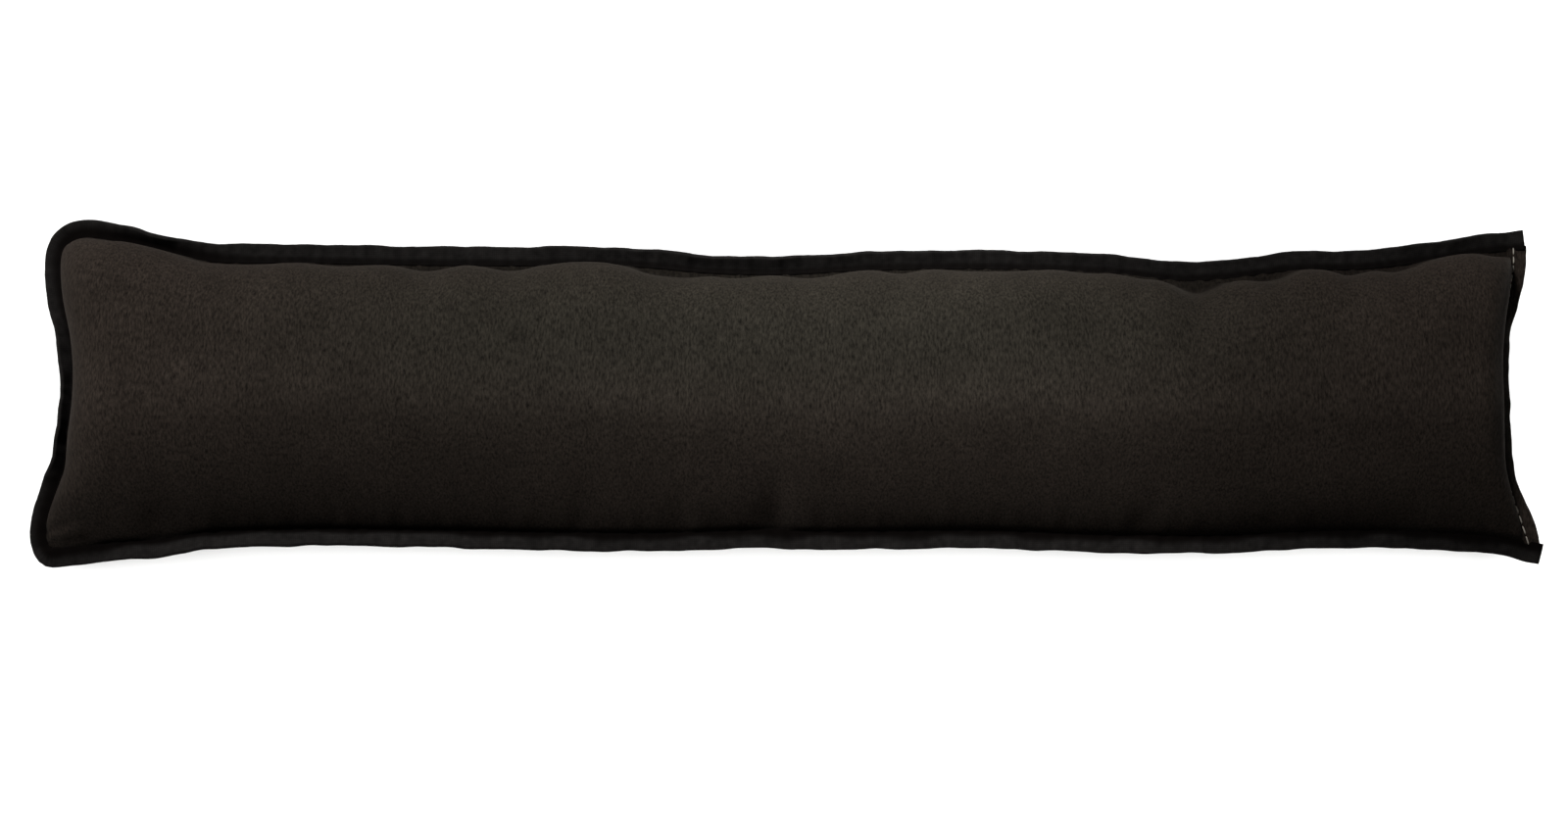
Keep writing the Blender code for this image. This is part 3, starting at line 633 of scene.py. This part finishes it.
shade = np.maximum(shade * np.where(plan[:, 1] > 0, BACK_SHADE, 1), EAR_SHADE * np.exp(-from_ear ** 2))
# Painted shade: the share by which the felt's colour is darkened at the seams and the ear.
store_shade_and_wear(body, "seam", shade)
worn = (plan[:, 0] / FADED_HALF_LENGTH) ** 4 + ((plan[:, 1] - FADED_PLACE) / FADED_HALF_WIDTH) ** 2
store_shade_and_wear(body, "faded", np.exp(-worn))

# The filling presses the cloth out between its seams: a short cloth simulation with the
# seam held. The move it finds is softened, as thick cloth does, and capped.
SETTLE_FRAMES = 20
PRESSURE = 4.0
SETTLE_CAP = 4 * MM
SETTLE_SHARE = 0.75
CREASE_SHARE = 0.075
SOFTENING = 10
CLOTH_QUALITY = 6
CLOTH_MASS = 0.3
STRETCH_STIFFNESS = 25
SHEAR_STIFFNESS = 12
BENDING_STIFFNESS = 8


def soften(grid, passes):
    """Average each point with its neighbours along both ways of the grid, with the rim held."""
    for _ in range(passes):
        grid[1:-1] = grid[1:-1] / 2 + (grid[:-2] + grid[2:]) / 4
        grid[:, 1:-1] = grid[:, 1:-1] / 2 + (grid[:, :-2] + grid[:, 2:]) / 4
        grid[0], grid[-1], grid[:, 0], grid[:, -1] = 0, 0, 0, 0
    return grid


def settle(obj, held):
    """Let the filling's pressure shape the cloth, and keep the softened, capped result."""
    start = np.empty(len(obj.data.vertices) * 3)
    obj.data.vertices.foreach_get("co", start)
    seam = obj.vertex_groups.new(name="seam")
    seam.add([int(k) for k in held], 1.0, "REPLACE")
    cloth = obj.modifiers.new("cloth", "CLOTH")
    cloth.settings.quality = CLOTH_QUALITY
    cloth.settings.mass = CLOTH_MASS
    cloth.settings.tension_stiffness = STRETCH_STIFFNESS
    cloth.settings.compression_stiffness = STRETCH_STIFFNESS
    cloth.settings.shear_stiffness = SHEAR_STIFFNESS
    cloth.settings.bending_stiffness = BENDING_STIFFNESS
    cloth.settings.vertex_group_mass = seam.name
    cloth.settings.use_pressure = True
    cloth.settings.uniform_pressure_force = PRESSURE
    cloth.settings.effector_weights.gravity = 0
    cloth.collision_settings.use_collision = False
    for step in range(1, SETTLE_FRAMES + 1):
        scene.frame_set(step)
    end = np.empty(len(start))
    obj.evaluated_get(bpy.context.evaluated_depsgraph_get()).data.vertices.foreach_get("co", end)
    obj.modifiers.remove(cloth)
    obj.vertex_groups.remove(seam)
    scene.frame_set(1)
    move = (end - start).reshape(2, rows, columns, 3)
    for face in move:
        plain = face.copy()
        face[:] = soften(face.copy(), SOFTENING) * SETTLE_SHARE + plain * CREASE_SHARE
    move = move.reshape(-1, 3)
    far = np.linalg.norm(move, axis=1, keepdims=True)
    move *= SETTLE_CAP * np.tanh(far / SETTLE_CAP) / np.maximum(far, 1e-9)
    points = start.reshape(-1, 3) + move
    points[:, 2] = np.maximum(points[:, 2], 0)
    obj.data.vertices.foreach_set("co", points.ravel())
    obj.data.update()
    return float(far.mean()), float(far.max())


print("settled, mean and most (m):", settle(body, np.concatenate((top_rim, low_rim))))

fine = body.modifiers.new("finer", "SUBSURF")
fine.levels = 1
fine.render_levels = 1

# Brushed felt: short fibres of dark taupe wool, napped towards the front, so the surface
# is matt, glows softly where it turns away, and has a grain of lighter and darker tufts.
# The real tufts are under 1 mm; they are drawn 1.1 mm wide and 3.6 mm long, to show.
FELT = "332c27"
FELT_FADED = "302d27"
FELT_TUFT = 1.1 * MM
FELT_NAP = 3.6 * MM
FELT_PATCH = 32 * MM
felt = bpy.data.materials.new("brushed felt")
felt.use_nodes = True
shader = felt.node_tree.nodes["Principled BSDF"]
shader.inputs["Roughness"].default_value = 0.95
shader.inputs["Specular IOR Level"].default_value = 0.06
shader.inputs["Sheen Weight"].default_value = 0.09
shader.inputs["Sheen Roughness"].default_value = 0.45
shader.inputs["Sheen Tint"].default_value = (*linear("d8cfc4"), 1)
place = add_node(felt, "ShaderNodeTexCoord")
napped = add_node(felt, "ShaderNodeMapping", [(0, place.outputs["Object"])],
                  in_3=(1 / FELT_TUFT, 1 / FELT_NAP, 1 / FELT_TUFT))
tufts = add_node(felt, "ShaderNodeTexNoise", [(0, napped.outputs[0])], in_2=1.0, in_3=3.0, in_4=0.6)
patches = add_node(felt, "ShaderNodeTexNoise", [(0, place.outputs["Object"])],
                   in_2=1 / FELT_PATCH, in_3=5.0, in_4=0.65)
tuft_shade = add_node(felt, "ShaderNodeMapRange", [(0, tufts.outputs[0])], in_1=0.28, in_2=0.72,
                      in_3=0.32, in_4=1.68)
patch_shade = add_node(felt, "ShaderNodeMapRange", [(0, patches.outputs[0])], in_1=0.3, in_2=0.7,
                       in_3=0.87, in_4=1.13)
# Painted shade: the stored "seam" share darkens the felt's colour, down to 0.22 of it, by the seams.
painted_seam_shade = add_node(felt, "ShaderNodeAttribute", attribute_name="seam")
seam_dark = add_node(felt, "ShaderNodeMapRange", [(0, painted_seam_shade.outputs["Fac"])], in_3=1.0, in_4=0.22)
shade = add_node(felt, "ShaderNodeMath", [(0, tuft_shade.outputs[0]), (1, patch_shade.outputs[0])],
                 operation="MULTIPLY")
shade = add_node(felt, "ShaderNodeMath", [(0, shade.outputs[0]), (1, seam_dark.outputs[0])],
                 operation="MULTIPLY")
worn = add_node(felt, "ShaderNodeAttribute", attribute_name="faded")
felt_colour = add_node(felt, "ShaderNodeMix", [(0, worn.outputs["Fac"])], data_type="RGBA",
                       in_6=(*linear(FELT), 1), in_7=(*linear(FELT_FADED), 1))
felt_colour = add_node(felt, "ShaderNodeMix", [(6, felt_colour.outputs[2]), (7, shade.outputs[0])],
                       data_type="RGBA", blend_type="MULTIPLY", in_0=1.0)
felt.node_tree.links.new(felt_colour.outputs[2], shader.inputs["Base Color"])
nap = add_node(felt, "ShaderNodeBump", [(2, tufts.outputs[0])], in_0=0.55, in_1=0.35 * MM)
felt.node_tree.links.new(nap.outputs[0], shader.inputs["Normal"])
body.data.materials.append(felt)

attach(body, ROOT)
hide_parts("filled_body")

# Welt: a strip of near-black woven cotton, folded double along its length and sewn into
# the seam along the back, round the left end and along the front. Its fold is outside,
# and it stands out from the seam, or hangs from it, with small ripples of the sewing.
WELT_ROOT = 1.6 * MM
WELT_BEAD = 3.2 * MM
STRIP_ROOT = SEAM_WALL * 0.8
WELT_STEP = 1.3 * MM
HANG_RIPPLE = 2.6
WIDTH_RIPPLE = 0.25 * MM
HEIGHT_RIPPLE = 0.16 * MM
DENT_DEPTH = 0.10 * MM


def ripple(s, *waves):
    """A sum of sines along the strip, from (length in mm, share, phase) of each."""
    return sum(share * np.sin(2 * math.pi * s / (length * MM) + phase) for length, share, phase in waves)


def folded_profile(width, root, bead, sides=11, tip=7):
    """A folded strip end on, from its root inside the seam, over the fold and back under.

    Half its thickness grows as a power of the way out, and the fold is half a circle.
    """
    r = np.linspace(-WELT_ROOT, width - bead / 2, sides)
    share = np.clip(r / width, 0, 1)
    half = (root + (bead - root) * share ** 1.4) / 2
    turn = np.linspace(math.pi / 2, -math.pi / 2, tip + 2)[1:-1]
    r = np.concatenate((r, width - bead / 2 + np.cos(turn) * bead / 2, r[::-1]))
    n = np.concatenate((half, np.sin(turn) * bead / 2, -half[::-1]))
    return r, n


def strip_points(base, outward, height, hang, width, profile):
    """The profile carried along the seam, bent down by `hang` about the seam at each station."""
    r, n = profile
    r = r[None, :] * (width[:, None] / profile[0].max())
    turn, out, down = strip_line(hang[:, None], r)
    go = out + n * np.sin(turn)
    points = np.empty((len(base), r.shape[1], 3))
    points[..., :2] = base[:, None, :] + outward[:, None, :] * go[..., None]
    points[..., 2] = height[:, None] - down + n * np.cos(turn)
    return points


def strip_faces(stations, around):
    """The faces of a closed tube of stations, with a cap at each end."""
    i, j = np.meshgrid(np.arange(stations - 1), np.arange(around), indexing="ij")
    a = (i * around + j).ravel()
    b = (i * around + (j + 1) % around).ravel()
    sides = np.stack((a, a + around, b + around, b), axis=-1)
    caps = [list(range(around)), [(stations - 1) * around + k for k in range(around)][::-1]]
    return sides.tolist() + caps


def strip_map(obj, stations, around, along, across):
    """A map in metres along and across the strip, for its weave."""
    layer = obj.data.uv_layers.new(name="cloth")
    number = np.empty(len(obj.data.loops), dtype=int)
    obj.data.loops.foreach_get("vertex_index", number)
    pairs = np.stack((along[number // around], across[number % around]), axis=-1)
    layer.data.foreach_set("uv", pairs.ravel())


run = np.concatenate(([0], np.cumsum(np.hypot(*np.diff(PATH, axis=0).T))))
at = np.linspace(0, run[-1], int(run[-1] / WELT_STEP))
base, ahead, behind = (np.stack([np.interp(at + step, run, PATH[:, k]) for k in (0, 1)], axis=-1)
                       for step in (0, HINGE / 2, -HINGE / 2))
along = (ahead - behind) / np.hypot(*(ahead - behind).T)[:, None]
outward = np.stack((along[:, 1], -along[:, 0]), axis=-1)
on_back = at <= run[BACK_LEFT_AT]
on_front = at >= run[FRONT_LEFT_AT]
hang = np.where(on_back, read_row(BACK_EDGE, "hang", base[:, 0]),
                np.where(on_front, read_row(FRONT_EDGE, "hang", base[:, 0]),
                         read_row(LEFT_EDGE, "hang", base[:, 1])))
hang = hang + HANG_RIPPLE * ripple(at, (47, 1, 0.4), (29, 0.7, 1.9), (16.5, 0.5, 0.9))
welt_width = WELT_WIDTH + WIDTH_RIPPLE * ripple(at, (63, 1, 0.2), (37, 0.8, 2.6), (21, 0.5, 1.1))
welt_height = seam_height(*base.T) + HEIGHT_RIPPLE * ripple(at, (9.2, 1, 0.7), (13.7, 0.8, 0.1))
profile = folded_profile(WELT_WIDTH, STRIP_ROOT, WELT_BEAD)
points = strip_points(base + SHIFT[:2], outward, welt_height, np.radians(hang), welt_width, profile)
dents = DENT_DEPTH * ripple(at, (6.1, 1, 0.3), (4.3, 0.7, 1.1), (17.9, 1.2, 0.5))
points[..., 2] += dents[:, None] * (profile[0] / WELT_WIDTH)[None, :].clip(0, 1)
stations, around = points.shape[:2]
welt = mesh_object("folded_welt", points.reshape(-1, 3), strip_faces(stations, around))
across = np.cumsum(np.concatenate(([0], np.hypot(np.diff(profile[0]), np.diff(profile[1])))))
strip_map(welt, stations, around, at, across)
# The face bulges over the strip's root and keeps the light off it: how far, at the back and
# left, and along the front, where the face leans over it more. The strip is deep in shade at
# the two left corners, and along the rest of the back the shade is a little lighter.
ROOT_SHADE = 3.0 * MM
BACK_ROOT_SHARE = 0.8
CORNER_SHADE = 4.5 * MM
ShadedPlace = namedtuple("ShadedPlace", "x y reach")
SHADED_PLACES = [ShadedPlace(-395, 95, 62), ShadedPlace(-436, -72, 36.4)]
ShadeRow = namedtuple("ShadeRow", "along reach")
FRONT_SHADE = [
    ShadeRow(-400, 4.4), ShadeRow(-360, 2.4), ShadeRow(-210, 2.4), ShadeRow(-130, 3.8),
    ShadeRow(360, 3.8), ShadeRow(430, 4.4),
]
SHADE_RIPPLE = 0.22
near_corner = 0
for spot in SHADED_PLACES:
    far = np.hypot(base[:, 0] - spot.x * MM, base[:, 1] - spot.y * MM) / (spot.reach * MM)
    near_corner = np.maximum(near_corner, np.exp(-far ** 4))
uneven = 1 + SHADE_RIPPLE * ripple(at, (83, 1, 0.9), (37, 0.8, 2.0))
front_shade = np.interp(base[:, 0] / MM, *zip(*FRONT_SHADE)) * MM * uneven
in_shade = np.where(on_front, front_shade, ROOT_SHADE + CORNER_SHADE * near_corner)
how_dark = np.where(on_front, 1, BACK_ROOT_SHARE + (1 - BACK_ROOT_SHARE) * near_corner)
root_dark = np.exp(-(profile[0].clip(0)[None, :] / in_shade[:, None]) ** 4) * how_dark[:, None]
# This share paints the strip's colour darker there: painted shade.
store_shade_and_wear(welt, "seam", root_dark)

# Plain woven cotton, dyed black and worn to a dark grey: matt, with a fine even weave.
# Its threads are 0.5 mm apart; the weave is drawn at 1.1 mm, so that it shows.
COTTON = "242221"
# The near-black colour below is painted shade for the strip's root.
COTTON_PAINTED_SHADE = "080504"
COTTON_THREAD = 1.1 * MM
COTTON_SLUB = 4 * MM
cotton = bpy.data.materials.new("black woven cotton")
cotton.use_nodes = True
shader = cotton.node_tree.nodes["Principled BSDF"]
shader.inputs["Roughness"].default_value = 0.85
shader.inputs["Specular IOR Level"].default_value = 0.05
place = add_node(cotton, "ShaderNodeTexCoord")
threads = add_node(cotton, "ShaderNodeMapping", [(0, place.outputs["UV"])],
                   in_3=(1 / COTTON_THREAD, 1 / COTTON_THREAD, 1))
warp = add_node(cotton, "ShaderNodeTexWave", [(0, threads.outputs[0])], bands_direction="X",
                in_1=0.314, in_2=0.6, in_3=1.0, in_4=2.0)
weft = add_node(cotton, "ShaderNodeTexWave", [(0, threads.outputs[0])], bands_direction="Y",
                in_1=0.314, in_2=0.6, in_3=1.0, in_4=2.0)
weave = add_node(cotton, "ShaderNodeMath", [(0, warp.outputs[1]), (1, weft.outputs[1])], operation="MULTIPLY")
slubs = add_node(cotton, "ShaderNodeTexNoise", [(0, place.outputs["Object"])], in_2=1 / COTTON_SLUB, in_3=3.0)
slub_shade = add_node(cotton, "ShaderNodeMapRange", [(0, slubs.outputs[0])], in_1=0.3, in_2=0.7,
                      in_3=0.72, in_4=1.28)
thread_shade = add_node(cotton, "ShaderNodeMapRange", [(0, weave.outputs[0])], in_3=0.85, in_4=1.35)
shade = add_node(cotton, "ShaderNodeMath", [(0, slub_shade.outputs[0]), (1, thread_shade.outputs[0])],
                 operation="MULTIPLY")
cotton_colour = add_node(cotton, "ShaderNodeMix", [(7, shade.outputs[0])], data_type="RGBA",
                         blend_type="MULTIPLY", in_0=1.0, in_6=(*linear(COTTON), 1))
# Painted shade: the stored "seam" share turns the colour near-black at the strip's root.
root = add_node(cotton, "ShaderNodeAttribute", attribute_name="seam")
cotton_colour = add_node(cotton, "ShaderNodeMix", [(0, root.outputs["Fac"]), (6, cotton_colour.outputs[2])],
                         data_type="RGBA", in_7=(*linear(COTTON_PAINTED_SHADE), 1))
cotton.node_tree.links.new(cotton_colour.outputs[2], shader.inputs["Base Color"])
threads_up = add_node(cotton, "ShaderNodeBump", [(2, weave.outputs[0])], in_0=0.4, in_1=0.2 * MM)
cotton.node_tree.links.new(threads_up.outputs[0], shader.inputs["Normal"])
welt.data.materials.append(cotton)

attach(welt, ROOT)
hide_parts("edge_welt")

# Closing edge: at the right-hand end both panels of felt are turned in after filling and
# lie flat on each other, two plies with a fine gap between their folds.
CLOSING_THICKNESS = 3.0 * MM
CLOSING_STEP = 1.3 * MM
CLOSING_TUCK = 1.2 * MM
CLOSING_HANG_RIPPLE = 2.0
CLOSING_WIDTH_RIPPLE = 0.3 * MM
CLOSING_HEIGHT_RIPPLE = 0.15 * MM
CLOSING_ROOT_SHADE = 0.6


def turned_in_profile(width, root, thickness, sides=9, fold=5):
    """Two plies end on: each has a fold of a quarter of the thickness, with a notch between."""
    r = np.linspace(-WELT_ROOT, width - thickness / 4, sides)
    half = (root + (thickness - root) * np.clip(r / width, 0, 1) ** 0.8) / 2
    turn = np.linspace(math.pi / 2, -math.pi / 2, fold + 2)[1:]
    tip_r = width - thickness / 4 + np.cos(turn) * thickness / 4
    tip_n = (1 + np.sin(turn)) * thickness / 4
    tip_r[-1] -= thickness / 6
    r = np.concatenate((r, tip_r, tip_r[-2::-1], r[::-1]))
    n = np.concatenate((half, tip_n, -tip_n[-2::-1], -half[::-1]))
    return r, n


def closing_line(profile, share, spread=1.0):
    """The profile carried along the right-hand seam, at shares of its length from the front."""
    y = FRONT_RIGHT_POINT[1] + (BACK_RIGHT_POINT[1] - FRONT_RIGHT_POINT[1]) * share
    base = np.stack((right_seam(y), y), axis=-1)
    outward = np.tile((1.0, 0.0), (len(y), 1))
    hang = read_row(RIGHT_EDGE, "hang", y) + CLOSING_HANG_RIPPLE * ripple(y, (31, 1, 0.3), (18, 0.7, 1.2))
    uneven = CLOSING_WIDTH_RIPPLE * ripple(y, (41, 1, 0.5), (23, 0.8, 2.2), (12, 0.5, 0.2))
    width = spread * (CLOSING_WIDTH + uneven)
    height = seam_height(*base.T) + CLOSING_HEIGHT_RIPPLE * ripple(y, (11, 1, 0.1), (7, 0.8, 1.4))
    reach = width * profile[0].max() / CLOSING_WIDTH
    points = strip_points(base, outward, height, np.radians(hang), reach, profile)
    front = front_seam(points[..., 0]) - CLOSING_TUCK
    back = back_seam(points[..., 0]) + CLOSING_TUCK
    points[..., 1] = front + (back - front) * share[:, None]
    return points + SHIFT


closing_profile = turned_in_profile(CLOSING_WIDTH, STRIP_ROOT, CLOSING_THICKNESS)
closing_length = BACK_RIGHT_POINT[1] - FRONT_RIGHT_POINT[1]
points = closing_line(closing_profile, np.linspace(0, 1, int(closing_length / CLOSING_STEP)))
stations, around = points.shape[:2]
closing = mesh_object("turned_in_edge", points.reshape(-1, 3), strip_faces(stations, around))
# Painted shade: the closing edge's root, by the seam, is darkened in the felt's colour.
closing_painted_shade = CLOSING_ROOT_SHADE * np.exp(-(closing_profile[0].clip(0) / ROOT_SHADE) ** 4)
store_shade_and_wear(closing, "seam", np.tile(closing_painted_shade, stations))
closing.data.materials.append(felt)

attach(closing, ROOT)
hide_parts("closing_edge")

# Closing stitches: a straight machine seam of off-white polyester thread along the closing
# edge. Each stitch is a short round thread that arches a little and sinks in at both ends.
# The line drifts in towards the seam between the two corners, sooner at the front one.
STITCH = 4.6 * MM
STITCH_PITCH = 5.4 * MM
STITCH_LINE = 2.4 * MM
STITCH_DRIFT = 0.7
FRONT_DRIFT_POWER = 9
BACK_DRIFT_POWER = 4
THREAD = 0.42 * MM
THREAD_SIDES = 8
ARCH = np.linspace(-1, 1, 9)
stitch_count = int(closing_length / STITCH_PITCH)
start = (np.arange(stitch_count) + 0.5) / stitch_count
share = (start[:, None] + ARCH[None, :] * STITCH / 2 / closing_length).ravel()
power = np.where(share > 0.5, BACK_DRIFT_POWER, FRONT_DRIFT_POWER)
spread = 1 - STITCH_DRIFT * (1 - np.abs(2 * share - 1) ** power)
thread_points, thread_faces = [], []
for side in (1, -1):
    over = side * (CLOSING_THICKNESS * 0.42 + THREAD * 0.3)
    middle, inner = (closing_line((np.array((STITCH_LINE,)), np.array((n,))), share, spread)
                     .reshape(stitch_count, -1, 3) for n in (over, 0.0))
    away = middle - inner
    away /= np.linalg.norm(away, axis=-1, keepdims=True)
    sunk = (1 - (1 - np.abs(ARCH) ** 4) ** 0.5)[None, :, None] * THREAD * 1.6
    middle = middle - away * sunk
    forward = np.gradient(middle, axis=1)
    forward /= np.linalg.norm(forward, axis=-1, keepdims=True)
    sideways = np.cross(forward, away)
    thick = THREAD * (1 - 0.35 * np.abs(ARCH) ** 3)
    for turn in range(THREAD_SIDES):
        a = turn * 2 * math.pi / THREAD_SIDES
        ring = middle + (math.cos(a) * away + math.sin(a) * sideways) * thick[None, :, None]
        thread_points.append(ring)
rings = np.stack(thread_points).reshape(2, THREAD_SIDES, stitch_count, len(ARCH), 3).transpose(0, 2, 3, 1, 4)
per_stitch = strip_faces(len(ARCH), THREAD_SIDES)
for k in range(2 * stitch_count):
    first = k * len(ARCH) * THREAD_SIDES
    thread_faces.extend([[first + p for p in face] for face in per_stitch])
stitches = mesh_object("closing_stitches", rings.reshape(-1, 3), thread_faces)

# Off-white polyester thread, smooth with a faint gloss.
thread = bpy.data.materials.new("off-white polyester thread")
thread.use_nodes = True
shader = thread.node_tree.nodes["Principled BSDF"]
shader.inputs["Base Color"].default_value = (*linear("b9b2a6"), 1)
shader.inputs["Roughness"].default_value = 0.5
stitches.data.materials.append(thread)
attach(stitches, ROOT)
